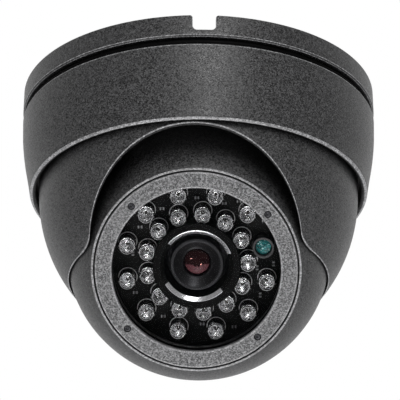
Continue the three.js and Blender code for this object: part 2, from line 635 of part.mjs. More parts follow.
const tilting = new THREE.Group();            // its +Z is the lens axis, its +Y is up the face
tilting.position.z = BALL_Z;
tilting.rotation.x = radians(90 + LENS_DEPRESSION);
camera.add(tilting);
place(tilting, "tilt_bracket", tiltBracket(), finish.steel);
place(tilting, "tilt_pivot_left", pivotPin(-1), finish.steel);
place(tilting, "tilt_pivot_right", pivotPin(1), finish.steel);

const eyeball = new THREE.Group();
eyeball.rotation.z = radians(ROLL_AT_REST);
tilting.add(eyeball);
place(eyeball, "eyeball_housing", eyeballHousing(), finish.paint);
place(eyeball, "bezel_ring", bezelRing(), finish.bezelPaint);
BEZEL_SCREW_ANGLES.forEach((angle, i) => {
  place(eyeball, `bezel_screw_${i + 1}`, bezelScrew(angle), finish.blackSteel);
});
place(eyeball, "front_window", frontWindow(), finish.clearGlass);
place(eyeball, "window_gasket", windowGasket(), finish.rubber);
place(eyeball, "cable_gland", cableGland(), finish.rubber);
place(eyeball, "bracket_nut", bracketNut(), finish.blackSteel);
place(eyeball, "led_board", ledBoard(), finish.board);
const cellSpot = [...polar(...PHOTOCELL_AT), 0];
place(eyeball, "photocell_sleeve", photocellSleeve().translate(cellSpot), finish.blackPlastic);
place(eyeball, "photocell", photocell().translate(cellSpot), finish.photocell);
for (const row of LED_RINGS) {
  for (let i = 0; i < row.places; i += 1) {
    const [x, y] = polar(row.radius, row.first + (360 * i) / row.places);
    if (i !== row.skipped) place(eyeball, `led_${row.name}_${i + 1}`, led().translate([x, y, 0]), finish.led);
  }
}
place(eyeball, "lens_shroud", lensShroud(), finish.rubber);
place(eyeball, "lens_barrel", lensBarrel(), finish.lensMetal);
place(eyeball, "lens_front_glass", lensFrontGlass(), finish.lensGlass);
place(eyeball, "lens_lock_ring", lensLockRing(), finish.lensMetal);
place(eyeball, "lens_holder", lensHolder(), finish.blackPlastic);
place(eyeball, "image_sensor", imageSensor(), finish.chip);
place(eyeball, "sensor_board", sensorBoard(), finish.greenBoard);
place(eyeball, "power_board", powerBoard(), finish.greenBoard);
standoffSpots().forEach((spot, i) => {
  place(eyeball, `board_standoff_${i + 1}`, standoff(spot), finish.steel);
});
place(eyeball, "board_connector", boardConnector(), finish.blackPlastic);
place(eyeball, "led_harness", ledHarness(), finish.blackPlastic);

export default camera;
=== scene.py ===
import json
import math
import random

import bmesh
import bpy
import numpy as np
from mathutils import Matrix, Vector

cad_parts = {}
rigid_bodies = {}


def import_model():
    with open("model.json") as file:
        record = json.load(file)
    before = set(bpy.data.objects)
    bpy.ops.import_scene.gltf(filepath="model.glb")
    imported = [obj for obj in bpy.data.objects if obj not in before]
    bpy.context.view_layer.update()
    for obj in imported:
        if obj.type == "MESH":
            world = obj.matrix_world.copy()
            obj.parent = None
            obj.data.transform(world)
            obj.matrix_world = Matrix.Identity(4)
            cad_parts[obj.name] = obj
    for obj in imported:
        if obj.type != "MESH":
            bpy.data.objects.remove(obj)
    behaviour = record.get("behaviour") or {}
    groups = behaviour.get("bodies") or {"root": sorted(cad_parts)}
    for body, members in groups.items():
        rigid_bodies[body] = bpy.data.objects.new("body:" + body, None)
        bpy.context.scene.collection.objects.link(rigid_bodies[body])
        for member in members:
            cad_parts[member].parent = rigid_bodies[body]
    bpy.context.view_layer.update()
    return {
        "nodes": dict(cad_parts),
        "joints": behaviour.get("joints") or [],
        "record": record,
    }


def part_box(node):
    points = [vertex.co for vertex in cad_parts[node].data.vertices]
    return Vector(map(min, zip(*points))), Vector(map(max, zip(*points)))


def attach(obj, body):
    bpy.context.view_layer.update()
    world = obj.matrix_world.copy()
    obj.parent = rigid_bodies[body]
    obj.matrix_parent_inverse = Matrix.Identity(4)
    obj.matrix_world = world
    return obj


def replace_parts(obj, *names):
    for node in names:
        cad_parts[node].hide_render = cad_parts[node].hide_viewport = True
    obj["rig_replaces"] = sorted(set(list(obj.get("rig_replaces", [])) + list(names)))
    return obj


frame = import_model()

# A turret ("eyeball") dome camera. Lengths below are in millimetres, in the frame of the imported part:
# z = 0 is the ceiling face, -Y is the front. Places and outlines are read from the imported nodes.
MM = 0.001
ROUND = 256                      # facets round the large turned pieces
MEDIUM = 128                     # facets round the middling ones
FINE = 64                        # facets round the small ones
NEAR = 0.01                      # points closer than this are one place
HAIR = 1e-6                      # a radius smaller than this is on the axis
EASE = 0.14                      # bevel on the cut edges of the castings
EASE_ANGLE = 38                  # only edges bent by more degrees than this are bevelled
UPRIGHT = Matrix.Identity(4)
TO_REAR = Matrix.Rotation(math.radians(-90), 4, "X")      # lays a piece's Z along +Y
random.seed(7)

record = frame["record"]
joints = {joint["name"]: joint for joint in frame["joints"]}
body_of = {node: body for body, nodes in record["behaviour"]["bodies"].items() for node in nodes}
slot_of = {part["node"]: part["material_slot"] for part in record["subparts"]}


# ------------------------------------------------------------------ places taken from the frame
def eyeball_place():
    """Frame of the eyeball at rest, in mm: origin at its centre, Z out along the lens, X level."""
    centre = Vector(joints["eyeball_tilt"]["pos_m"]) / MM
    out = Vector(joints["eyeball_roll"]["axis"]).normalized()
    side = Vector((1, 0, 0))
    up = out.cross(side)
    turn_to = Matrix((side, up, out)).transposed().to_4x4()
    return Matrix.Translation(centre) @ turn_to


EYE = eyeball_place()


def corners(node, place=UPRIGHT):
    """The node's vertices in mm, seen in a local frame, as an array."""
    co = np.array([v.co for v in frame["nodes"][node].data.vertices], float) / MM
    inverse = np.array(place.inverted(), float)
    return co @ inverse[:3, :3].T + inverse[:3, 3]


def turned_outline(node, place=UPRIGHT, degrees=0.0):
    """The closed (radius, z) outline of a turned node, read at the facet edge nearest an azimuth."""
    co = corners(node, place)
    radius = np.hypot(co[:, 0], co[:, 1])
    azimuth = np.arctan2(co[:, 1], co[:, 0])
    off = np.abs((azimuth - math.radians(degrees) + math.pi) % (2 * math.pi) - math.pi)
    large = radius > 0.5 * radius.max()
    chosen = azimuth[large][np.argmin(off[large])]
    spread = np.abs((azimuth - chosen + math.pi) % (2 * math.pi) - math.pi) * radius
    keep = (spread < NEAR) | (radius < NEAR)
    key = {i: (round(float(radius[i]), 2), round(float(co[i, 2]), 2)) for i in np.nonzero(keep)[0]}
    links = {}
    for edge in frame["nodes"][node].data.edges:
        a, b = (key.get(i) for i in edge.vertices)
        if a and b and a != b and not (a[0] < NEAR and b[0] < NEAR):
            links.setdefault(a, set()).add(b)
            links.setdefault(b, set()).add(a)
    start = min(links, key=lambda point: (len(links[point]) != 1, point))
    path = [start]
    while True:
        onward = [p for p in links[path[-1]] if p not in path]
        if not onward:
            return path
        path.append(min(onward, key=lambda p: math.dist(p, path[-1])))


def reach(node, place=UPRIGHT):
    """Centre (x, y), lowest and highest z, and radius of a small upright piece in a local frame."""
    co = corners(node, place)
    low, high = co.min(0), co.max(0)
    x, y = (low[:2] + high[:2]) / 2
    radius = np.hypot(co[:, 0] - x, co[:, 1] - y).max()
    return float(x), float(y), float(low[2]), float(high[2]), float(radius)


# ------------------------------------------------------------------ meshes
def shape(name, vertices, faces, numbers=None, place=UPRIGHT, materials=(), sharp=40):
    """A smooth-shaded mesh object from vertices in mm in a local frame, with a material number a face."""
    mesh = bpy.data.meshes.new(name)
    mesh.from_pydata([(place @ Vector(v)) * MM for v in vertices], [], faces)
    for look in materials:
        mesh.materials.append(look)
    if numbers:
        mesh.polygons.foreach_set("material_index", numbers)
    piece = bpy.data.objects.new(name, mesh)
    bpy.context.scene.collection.objects.link(piece)
    tidy_mesh(mesh, sharp)
    return piece


def tidy_mesh(mesh, sharp):
    """Merges doubles, turns the faces outwards and smooths all but the sharp edges."""
    work = bmesh.new()
    work.from_mesh(mesh)
    bmesh.ops.remove_doubles(work, verts=work.verts, dist=1e-7)
    bmesh.ops.recalc_face_normals(work, faces=work.faces)
    work.to_mesh(mesh)
    work.free()
    mesh.shade_smooth()
    mesh.set_sharp_from_angle(angle=math.radians(sharp))


def turn(outline, count=ROUND):
    """An outline turned about Z: vertices, faces and each face's number, which its first point has."""
    closed = outline[0][0] > HAIR
    vertices, rows, faces, numbers = [], [], [], []
    for radius, z, *_ in outline:
        around = 1 if radius < HAIR else count
        rows.append([len(vertices) + i % around for i in range(count)])
        for i in range(around):
            angle = 2 * math.pi * i / count
            vertices.append((radius * math.cos(angle), radius * math.sin(angle), z))
    pairs = list(zip(outline, rows, rows[1:])) + ([(outline[-1], rows[-1], rows[0])] if closed else [])
    for (_, _, *number), a, b in pairs:
        for i in range(count):
            j = (i + 1) % count
            face = list(dict.fromkeys((a[i], a[j], b[j], b[i])))
            if len(face) > 2:
                faces.append(face)
                numbers.append(number[0] if number else 0)
    return vertices, faces, numbers


def unit(v):
    return v / max(np.linalg.norm(v), 1e-9)


def degrees_between(a, b):
    """The angle between two unit vectors."""
    return math.degrees(math.acos(max(-1, min(1, float(a @ b)))))


def flowing(start, leave, end, arrive, t):
    """The point at t on a smooth curve between two points, with its directions at both of them."""
    length = np.linalg.norm(end - start)
    h = (2 * t**3 - 3 * t**2 + 1, t**3 - 2 * t**2 + t, -2 * t**3 + 3 * t**2, t**3 - t**2)
    return h[0] * start + h[1] * leave * length + h[2] * end + h[3] * arrive * length


def softened(outline, fillet, bend=28, highlit_wear=lambda r, z: False):
    """The outline as (radius, z, flag): gentle corners flow in a curve, sharp ones get a fillet.
    Fillets are flagged for the lighter paint (wear and a painted highlight), and so is any stretch where the
    given function of (radius, z) says so."""
    closed = outline[0][0] > HAIR
    points = [np.array(p, float) for p in outline]
    count = len(points)
    fillet_points, side_share, degrees_a_step = 5, 0.45, 3

    def at(i):
        return points[i % count] if closed else points[min(max(i, 0), count - 1)]

    def is_end(i):
        return not closed and i in (0, count - 1)

    def sharp(i):
        return is_end(i) or degrees_between(unit(at(i) - at(i - 1)), unit(at(i + 1) - at(i))) > bend

    made = []
    for i in range(count):
        here, following = at(i), at(i + 1)
        if sharp(i) and not is_end(i):
            back, ahead = at(i - 1) - here, following - here
            cut = min(fillet, side_share * np.linalg.norm(back), side_share * np.linalg.norm(ahead))
            a, b = here + unit(back) * cut, here + unit(ahead) * cut
            for t in np.linspace(0, 1, fillet_points):
                made.append((*((1 - t) ** 2 * a + 2 * t * (1 - t) * here + t * t * b), t < 1))
        else:
            made.append((*here, False))
        if not closed and i == count - 1:
            break
        if sharp(i) and sharp(i + 1):
            continue
        along = unit(following - here)
        leave = along if sharp(i) else unit(following - at(i - 1))
        arrive = along if sharp(i + 1) else unit(at(i + 2) - here)
        if sharp(i):
            leave = unit(2 * along - arrive)
        if sharp(i + 1):
            arrive = unit(2 * along - leave)
        steps = max(2, int(degrees_between(leave, arrive) / degrees_a_step))
        for t in np.linspace(0, 1, steps + 1)[1:-1]:
            spot = flowing(here, leave, following, arrive, t)
            in_this_fillet = sharp(i) and np.linalg.norm(spot - here) < fillet
            in_next_fillet = sharp(i + 1) and np.linalg.norm(spot - following) < fillet
            if not in_this_fillet and not in_next_fillet:
                made.append((*spot, False))
    widest = max(r for r, z in outline)
    return [(min(max(float(r), 0.0), widest), float(z), int(flag or highlit_wear(r, z))) for r, z, flag in made]


def turned(name, outline, materials, place=UPRIGHT, count=ROUND):
    """A mesh object turned from an outline."""
    return shape(name, *turn(outline, count), place, materials)


def shifted(vertices, x, y):
    return [(vx + x, vy + y, vz) for vx, vy, vz in vertices]


def peg(radius, low, high, x=0.0, y=0.0, count=FINE):
    """Vertices and faces of a round cutter or boss, along Z of its local frame."""
    vertices, faces, _ = turn([(0, low), (radius, low), (radius, high), (0, high)], count)
    return shifted(vertices, x, y), faces


def box_of(low, high):
    """Vertices and faces of a box."""
    spots = [(x, y, z) for x in (low[0], high[0]) for y in (low[1], high[1]) for z in (low[2], high[2])]
    faces = [(0, 1, 3, 2), (4, 6, 7, 5), (0, 4, 5, 1), (2, 3, 7, 6), (0, 2, 6, 4), (1, 5, 7, 3)]
    return spots, faces


def eased(piece, width):
    """Bevels the piece's sharp edges by a width in mm. Gives the modifier."""
    ease = piece.modifiers.new("ease", "BEVEL")
    ease.width, ease.segments, ease.angle_limit = width * MM, 2, math.radians(EASE_ANGLE)
    return ease


def carved(piece, cutters=(), added=(), edge=0.0, sharp=40):
    """The piece with meshes joined to it and cut from it, and its new edges eased by a bevel."""
    tools = []
    for operation, solids in (("UNION", added), ("DIFFERENCE", cutters)):
        for solid in solids:
            tool = solid if isinstance(solid, bpy.types.Object) else shape("tool", *solid)
            step = piece.modifiers.new(operation, "BOOLEAN")
            step.operation, step.object, step.solver = operation, tool, "EXACT"
            tools.append(tool)
    if edge:
        ease = eased(piece, edge)
        ease.use_clamp_overlap = False
        # bevel faces take the last material: on painted pieces the lighter paint, wear and a painted
        # highlight along the eased edges
        ease.material = len(piece.data.materials) - 1
    graph = bpy.context.evaluated_depsgraph_get()
    mesh = bpy.data.meshes.new_from_object(piece.evaluated_get(graph))
    piece.modifiers.clear()
    piece.data = mesh
    for tool in tools:
        bpy.data.objects.remove(tool)
    tidy_mesh(mesh, sharp)
    return piece


def stands_for(piece, node):
    """The piece takes the node's place and body."""
    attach(piece, body_of[node])
    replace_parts(piece, node)
    return piece


# ------------------------------------------------------------------ materials
def grey(level):
    """A faintly cool grey."""
    return (level, level, 1.02 * level)


class Look:
    """A procedural material: a Principled shader whose colour, gloss and relief come from noise."""

    def __init__(self, name, **sockets):
        self.material = bpy.data.materials.new(name)
        self.material.use_nodes = True
        self.tree = self.material.node_tree
        self.shader = self.tree.nodes["Principled BSDF"]
        for socket, value in sockets.items():
            self.shader.inputs[socket.replace("_", " ")].default_value = value
        self.where = self.node("ShaderNodeTexCoord").outputs["Object"]

    def node(self, kind, **settings):
        made = self.tree.nodes.new(kind)
        for key, value in settings.items():
            setattr(made, key, value)
        return made

    def link(self, source, target):
        self.tree.links.new(source, target)

    def noise(self, grain, detail=2.0, distortion=0.0, stretch=(1, 1, 1)):
        """Smooth noise, with features of about this size in mm."""
        texture = self.node("ShaderNodeTexNoise")
        texture.inputs["Scale"].default_value = 1 / (grain * MM)
        texture.inputs["Detail"].default_value = detail
        texture.inputs["Distortion"].default_value = distortion
        self.link(self.stretched(stretch), texture.inputs["Vector"])
        return texture.outputs["Fac"]

    def cells(self, grain):
        """A random value for each grain of this size in mm."""
        texture = self.node("ShaderNodeTexVoronoi")
        texture.inputs["Scale"].default_value = 1 / (grain * MM)
        self.link(self.where, texture.inputs["Vector"])
        split = self.node("ShaderNodeSeparateColor")
        self.link(texture.outputs["Color"], split.inputs["Color"])
        return split.outputs["Red"]

    def stretched(self, factors):
        if tuple(factors) == (1, 1, 1):
            return self.where
        mapping = self.node("ShaderNodeMapping")
        mapping.inputs["Scale"].default_value = factors
        self.link(self.where, mapping.inputs["Vector"])
        return mapping.outputs["Vector"]

    def ramp(self, factor, *stops):
        """Colours by position along the factor: (position, (r, g, b)) stops."""
        ramp = self.node("ShaderNodeValToRGB")
        elements = ramp.color_ramp.elements
        while len(elements) < len(stops):
            elements.new(0.5)
        for element, (position, colour) in zip(elements, stops):
            element.position = position
            element.color = (*colour, 1)
        self.link(factor, ramp.inputs["Fac"])
        return ramp.outputs["Color"]

    def spread(self, factor, low, high, start=0.0, end=1.0):
        """The factor rescaled from start..end to low..high."""
        scale = self.node("ShaderNodeMapRange")
        for socket, value in zip(("From Min", "From Max", "To Min", "To Max"), (start, end, low, high)):
            scale.inputs[socket].default_value = value
        self.link(factor, scale.inputs["Value"])
        return scale.outputs["Result"]

    def mix(self, factor, a, b, blend="MIX"):
        """Two colours mixed by a factor, each a socket or an (r, g, b)."""
        mixer = self.node("ShaderNodeMix", data_type="RGBA", blend_type=blend)
        for socket, value in ((mixer.inputs[0], factor), (mixer.inputs[6], a), (mixer.inputs[7], b)):
            if isinstance(value, bpy.types.NodeSocket):
                self.link(value, socket)
            elif isinstance(value, tuple):
                socket.default_value = (*value, 1)
            else:
                socket.default_value = value
        return mixer.outputs[2]

    def colour(self, source):
        self.link(source, self.shader.inputs["Base Color"])
        return self

    def gloss(self, source):
        self.link(source, self.shader.inputs["Roughness"])
        return self

    def relief(self, height, depth, strength=1.0):
        """Bump from a height factor, with this depth in mm."""
        bump = self.node("ShaderNodeBump")
        bump.inputs["Distance"].default_value = depth * MM
        bump.inputs["Strength"].default_value = strength
        self.link(height, bump.inputs["Height"])
        self.link(bump.outputs["Normal"], self.shader.inputs["Normal"])
        return self

    def shaded(self, colour, dark, distance):
        """The colour, sunk towards dark where walls closer than this distance in mm shut light out."""
        hollow = self.node("ShaderNodeAmbientOcclusion", samples=8)
        hollow.inputs["Distance"].default_value = distance * MM
        deep = self.spread(hollow.outputs["AO"], 1.0, 0.0, 0.25, 0.75)
        return self.mix(deep, colour, dark)


def powder_coat(name, dark, pale, grain, relief, hollow=16):
    """Textured satin paint: a fine salt-and-pepper of dark and pale grains over a pebbled relief.
    Painted shade darkens its colour in corners where walls stand closer than the hollow distance."""
    look = Look(name, IOR=1.5)
    grains = look.mix(0.15, look.cells(grain), look.noise(grain * 2.2, 3.0))
    between = grey(0.45 * dark + 0.35 * pale)
    tone = look.ramp(grains, (0.12, grey(dark)), (0.5, between), (0.88, grey(pale)))
    look.link(look.spread(look.cells(0.8 * grain), 0.1, 0.95), look.shader.inputs["Specular IOR Level"])
    handled = look.spread(look.noise(24, 4.0), 0.0, 0.18, 0.45, 0.75)
    # painted shade: the colour sinks towards near black in corners and hollows
    look.colour(look.shaded(look.mix(handled, tone, grey(0.9 * pale)), grey(0.001), hollow))
    look.gloss(look.spread(grains, 0.36, 0.56, 0.2, 0.8))
    look.relief(grains, relief, 0.9)
    return look.material


def matt(name, base, grain, roughness, sheen=0.5):
    """Rubber, moulded plastic and solder mask: one colour with a faint mottle."""
    look = Look(name, Specular_IOR_Level=sheen)
    dark, pale = tuple(0.6 * c for c in base), tuple(1.5 * c for c in base)
    look.colour(look.ramp(look.noise(grain, 3.0), (0.35, dark), (0.7, pale)))
    look.gloss(look.spread(look.noise(grain * 2, 2.0), roughness - 0.08, roughness + 0.1, 0.3, 0.7))
    look.relief(look.noise(grain * 0.6, 2.0), 0.004, 0.4)
    return look.material


def metal(name, base, grain, roughness, stretch=(1, 1, 1)):
    """Bare or plated metal with fine drawn or turned marks."""
    look = Look(name, Metallic=1.0)
    marks = look.noise(grain, 3.0, stretch=stretch)
    dark, pale = tuple(0.8 * c for c in base), tuple(min(1.0, 1.12 * c) for c in base)
    look.colour(look.ramp(marks, (0.3, dark), (0.7, pale)))
    look.gloss(look.spread(marks, roughness * 0.7, roughness * 1.35, 0.3, 0.7))
    look.relief(marks, 0.004, 0.4)
    return look.material


def window_glass():
    """Clear glass, nearly see-through, with a trace of tint and reflection."""
    look = Look("window_glass", Roughness=0.02, IOR=1.5, Alpha=0.03)
    dark, pale = (0.006, 0.008, 0.008), (0.012, 0.014, 0.015)
    look.colour(look.ramp(look.noise(9, 2.0), (0.3, dark), (0.7, pale)))
    look.material.surface_render_method = "BLENDED"
    return look.material


def led_epoxy():
    """Clear resin that hardly bends what is seen through it, so the bowl shows, under a glossy coat."""
    look = Look("led_epoxy", Roughness=0.0, IOR=1.03)
    look.shader.inputs["Transmission Weight"].default_value = 1.0
    look.shader.inputs["Coat Weight"].default_value = 1.0
    look.shader.inputs["Coat Roughness"].default_value = 0.02
    look.colour(look.ramp(look.noise(1.2, 2.0), (0.3, (0.93, 0.94, 0.95)), (0.7, (1.0, 1.0, 1.0))))
    return look.material


def reflector_silver():
    """Silvered cups, rippled by the uneven epoxy over them. Their colour swings between near black and
    white: a painted reflection.
    """
    look = Look("silver_plate", Metallic=1.0)
    ripple_and_reflection = look.noise(0.5, 3.0, 1.5)
    # colour from near black to white: painted reflections in the rippled silver
    look.colour(look.ramp(ripple_and_reflection, (0.4, grey(0.05)), (0.46, grey(0.5)), (0.53, grey(1.0))))
    look.gloss(look.spread(ripple_and_reflection, 0.08, 0.2, 0.3, 0.7))
    look.relief(ripple_and_reflection, 0.1, 1.0)
    return look.material


def lens_glass():
    """Dark glass with a pink reflection."""
    look = Look("lens_glass", Roughness=0.04, IOR=1.5, Specular_IOR_Level=0.22)
    look.shader.inputs["Specular Tint"].default_value = (1.0, 0.5, 0.42, 1)
    dark, pale = (0.003, 0.001, 0.002), (0.007, 0.002, 0.003)
    look.colour(look.ramp(look.noise(1.5, 2.0), (0.3, dark), (0.7, pale)))
    return look.material


def photocell_resin():
    """A teal light-sensing face: bright tracks run across it under clear resin, with white painted glints
    scattered over it.
    """
    look = Look("photocell_resin", Roughness=0.25, Specular_IOR_Level=0.2)
    look.shader.inputs["Coat Weight"].default_value = 0.3
    look.shader.inputs["Coat Roughness"].default_value = 0.03
    tracks = look.noise(0.5, 3.0, 2.0, (0.5, 1.5, 1))
    deep, teal, bright = (0.001, 0.02, 0.025), (0.004, 0.12, 0.12), (0.03, 0.28, 0.28)
    tone = look.ramp(tracks, (0.4, deep), (0.52, teal), (0.66, bright))
    # white painted glints on scattered grains
    painted_glints = look.spread(look.cells(0.35), 0.0, 0.8, 0.9, 1.0)
    look.colour(look.mix(painted_glints, tone, (0.6, 0.95, 0.93)))
    return look.material


def sensor_face():
    """The image chip's glass over its violet cells."""
    look = Look("sensor_chip", Roughness=0.12, Metallic=0.2)
    look.colour(look.ramp(look.noise(0.5, 2.0), (0.3, (0.03, 0.02, 0.05)), (0.7, (0.08, 0.05, 0.1))))
    return look.material


looks = {
    "body_paint": powder_coat("body_paint", dark=0.005, pale=0.072, grain=0.3, relief=0.05),
    "bezel_paint": powder_coat("bezel_paint", dark=0.02, pale=0.24, grain=0.28, relief=0.03, hollow=3),
    "black_rubber": matt("black_rubber", (0.0015, 0.0015, 0.0015), grain=0.5, roughness=0.5, sheen=0.05),
    "nylon": matt("nylon", (0.5, 0.48, 0.43), grain=0.8, roughness=0.45),
    "steel": metal("steel", (0.62, 0.63, 0.65), grain=0.4, roughness=0.3, stretch=(1, 1, 0.1)),
    "black_steel": metal("black_steel", (0.05, 0.05, 0.054), grain=0.2, roughness=0.35),
    "window_glass": window_glass(),
    "black_board": matt("black_board", (0.003, 0.003, 0.003), grain=0.9, roughness=0.4, sheen=0.12),
    "green_board": matt("green_board", (0.01, 0.09, 0.045), grain=0.9, roughness=0.4),
    "black_plastic": matt("black_plastic", (0.016, 0.016, 0.017), grain=0.4, roughness=0.45),
    "photocell_resin": photocell_resin(),
    "led_epoxy": led_epoxy(),
    "lens_metal": metal("lens_metal", (0.028, 0.028, 0.03), grain=0.25, roughness=0.4),
    "lens_glass": lens_glass(),
    "sensor_chip": sensor_face(),
    "brass": metal("brass", (0.75, 0.58, 0.28), grain=0.3, roughness=0.3),
    "wire_jacket": matt("wire_jacket", (0.3, 0.015, 0.015), grain=0.5, roughness=0.45),
}
# Lighter paint for fillets, lips, rims and eased edges: wear, and a painted highlight where those edges
# catch the light.
worn_paint = powder_coat("worn_paint", dark=0.12, pale=0.42, grain=0.3, relief=0.01)
silver = reflector_silver()
# Pale paint for the hoops inside the LEDs: painted highlights.
moulded_edge = matt("moulded_edge", (0.6, 0.6, 0.61), grain=0.4, roughness=0.3)
# Pink for a crescent on the lens glass: a painted reflection.
lens_coating = matt("lens_coating", (0.085, 0.028, 0.034), grain=0.5, roughness=0.3, sheen=0.1)
emitter_die = metal("emitter_die", (0.05, 0.045, 0.04), grain=0.1, roughness=0.3)
tin = metal("tinned_end", (0.3, 0.3, 0.31), grain=0.1, roughness=0.35)
chip_body = matt("chip_body", (0.03, 0.03, 0.032), grain=0.2, roughness=0.5)
sleeve_plastic = matt("sleeve_plastic", (0.03, 0.03, 0.031), grain=0.4, roughness=0.5)
# Bright metal for two stretches of the shroud's chamfer: a painted reflection.
glint_metal = metal("polished_chamfer", (0.8, 0.8, 0.82), grain=0.3, roughness=0.2)

# What each face number of a piece stands for.
PAINTED = (looks["body_paint"], worn_paint)
BEZEL_PAINTED = (looks["bezel_paint"], worn_paint)
SHROUD = (looks["black_rubber"], glint_metal)
GLASS_WITH_REFLECTION_PAINT = (looks["lens_glass"], lens_coating)
CHIP = (chip_body, tin)
EMITTER = (looks["led_epoxy"], silver, emitter_die, moulded_edge)
EPOXY, SILVERED, DIE, HIGHLIGHT = range(len(EMITTER))


# ------------------------------------------------------------------ ceiling base
def mounting_base():
    """The casting: a tray open to the ceiling, with screw bosses, a cable notch and a threaded collar."""
    outline = turned_outline("mounting_base")
    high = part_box("mounting_base")[1] / MM
    wall_r, plate_r = 46, 30                     # outside this is the base's wall; inside this, its plate
    groove_z = min(z for r, z in outline if r > wall_r)
    floor_z = max(z for r, z in outline if r < plate_r and z < -1)
    body = turned("mounting_base_fine", softened(outline, 0.1), PAINTED)
    screw_r, boss_r, hole_r, sink_r, sink_top = 33, 4.6, 2.2, 4.9, groove_z + 2
    past = 0.6                                   # cutters and bosses reach this far past a face
    sink = [(0, groove_z - 1), (sink_r, groove_z - past), (hole_r, sink_top), (hole_r, 1), (0, 1)]
    notch = next(o for o in record["physics"]["openings"] if o["name"] == "cable_notch")["box_m"]
    notch_x = (notch[0][0] + notch[1][0]) / 2 / MM
    turn_by = math.asin(notch_x / high.x)
    bosses, holes = [], []
    for angle in (90, 210, 330):
        x = screw_r * math.cos(turn_by + math.radians(angle))
        y = screw_r * math.sin(turn_by + math.radians(angle))
        bosses.append(peg(boss_r, floor_z - past, high.z - 0.001, x, y))
        vertices, faces, _ = turn(sink, FINE)
        holes.append((shifted(vertices, x, y), faces))
    carved(body, holes + [notch_cutter(turn_by, high.x)], bosses, EASE)
    return stands_for(body, "mounting_base")


def notch_cutter(turn_by, base_r):
    """The cable notch: a slot open to the ceiling, with rounded corners above and below."""
    half, depth, corner, brow, above = 3.1, 4.4, 1.3, 0.7, 1.0
    near, far = -base_r - 2, -base_r + 5
    steps = 8

    def quarter(x, z, radius, start, end):
        """A quarter circle about a corner's centre, between two angles in degrees."""
        spots = []
        for i in range(steps + 1):
            a = math.radians(start + (end - start) * i / steps)
            spots.append((x + radius * math.cos(a), z + radius * math.sin(a)))
        return spots

    side = [(-half - brow, above), *quarter(-half - brow, -brow, brow, 90, 0)]
    side += quarter(corner - half, corner - depth, corner, 180, 270)
    side += quarter(half - corner, corner - depth, corner, 270, 360)
    side += [*quarter(half + brow, -brow, brow, 180, 90), (half + brow, above)]
    vertices = [(x, near, z) for x, z in side] + [(x, far, z) for x, z in side]
    count = len(side)
    faces = [tuple(range(count)), tuple(range(2 * count - 1, count - 1, -1))]
    faces += [(i, (i + 1) % count, count + (i + 1) % count, count + i) for i in range(count)]
    turned_by = Matrix.Rotation(turn_by, 4, "Z")
    return [tuple(turned_by @ Vector(v)) for v in vertices], faces


def base_pieces():
    """The base, the seal in its groove, the friction ring under the hood's flange and the grommet."""
    mounting_base()
    rubber = [looks["black_rubber"]]
    seal = turned("base_seal_fine", softened(turned_outline("base_seal"), 0.15), rubber)
    stands_for(seal, "base_seal")
    washer = softened(turned_outline("pan_friction_ring"), 0.1)
    stands_for(turned("pan_friction_ring_fine", washer, [looks["nylon"]]), "pan_friction_ring")
    outline = softened(turned_outline("cable_grommet"), 0.2)
    grommet = turned("cable_grommet_fine", outline, rubber, count=MEDIUM)
    cable_bore, cable_y, below, above = 3.2, -4.5, -20, 5
    carved(grommet, [peg(cable_bore, below, above, 0, cable_y)], edge=EASE)
    stands_for(grommet, "cable_grommet")


# ------------------------------------------------------------------ clamp ring
def moved(piece, place):
    """The piece's mesh moved by a matrix in mm."""
    piece.data.transform(Matrix.Scale(MM, 4) @ place @ Matrix.Scale(1 / MM, 4))
    return piece


def clamp_ring():
    """The ring with its lower lip in the lighter paint (wear and a painted highlight), and the lock screw in
    the back of it.
    """
    outline = turned_outline("clamp_ring")
    bottom = min(z for r, z in outline)
    lip_r = max(r for r, z in outline if z < bottom + 1)
    lip_h, lip_w = 0.5, 0.8

    # The lower lip takes the lighter paint: wear, and a painted highlight along the lip.
    def lip(r, z):
        return z < bottom + lip_h and r > lip_r - lip_w

    body = turned("clamp_ring_fine", softened(outline, 0.12, 40, lip), PAINTED)
    low, high = (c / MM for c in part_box("ring_lock_screw"))
    level, radius = (low.z + high.z) / 2, (high.z - low.z) / 2
    across = Matrix.Translation((0, 0, level)) @ TO_REAR
    play, key = 0.2, 0.85
    hole = shape("hole", *peg(radius + play, low.y - 2, high.y + 3), None, across)
    carved(body, [hole], edge=EASE)
    stands_for(body, "clamp_ring")
    screw = socket_screw("ring_lock_screw_fine", radius, high.y - low.y, key, [looks["black_steel"]])
    moved(screw, Matrix.Translation((0, low.y, level)) @ TO_REAR)
    stands_for(screw, "ring_lock_screw")


def socket_screw(name, radius, length, key, materials):
    """A headless or cap screw along Z from 0 to length, with a hexagon socket in its top."""
    count, tip_r = 48, 0.001
    chamfer, brow, crown, lead_in, drill_point = 0.12, 0.05, 0.14, 0.06, 0.15
    depth = min(0.8, 0.35 * length)

    def row(size, z, hexagon=False):
        """Points round the axis, on a circle or on a hexagon with its corners at this size."""
        points = []
        for i in range(count):
            a = 2 * math.pi * i / count
            r = size
            if hexagon:
                r = size * math.cos(math.pi / 6) / math.cos((a % (math.pi / 3)) - math.pi / 6)
            points.append((r * math.cos(a), r * math.sin(a), z))
        return points

    rows = [row(tip_r, 0), row(radius - chamfer, 0), row(radius, chamfer), row(radius, length - crown)]
    rows += [row(radius - brow, length - brow), row(radius - crown, length)]
    rows += [row(key + lead_in, length, True), row(key, length - lead_in, True)]
    rows += [row(key, length - depth, True), row(tip_r, length - depth - drill_point)]
    vertices = [p for points in rows for p in points]
    faces = []
    for start in range(0, (len(rows) - 1) * count, count):
        for i in range(count):
            j = (i + 1) % count
            faces.append((start + i, start + j, start + count + j, start + count + i))
    faces += [tuple(range(count)), tuple(range((len(rows) - 1) * count, len(rows) * count))]
    return shape(name, vertices, faces, None, UPRIGHT, materials)


# ------------------------------------------------------------------ hood
def from_front(radius, angle, z):
    """The point at this radius and height, at an angle in radians from the front."""
    return Vector((radius * math.sin(angle), -radius * math.cos(angle), z))


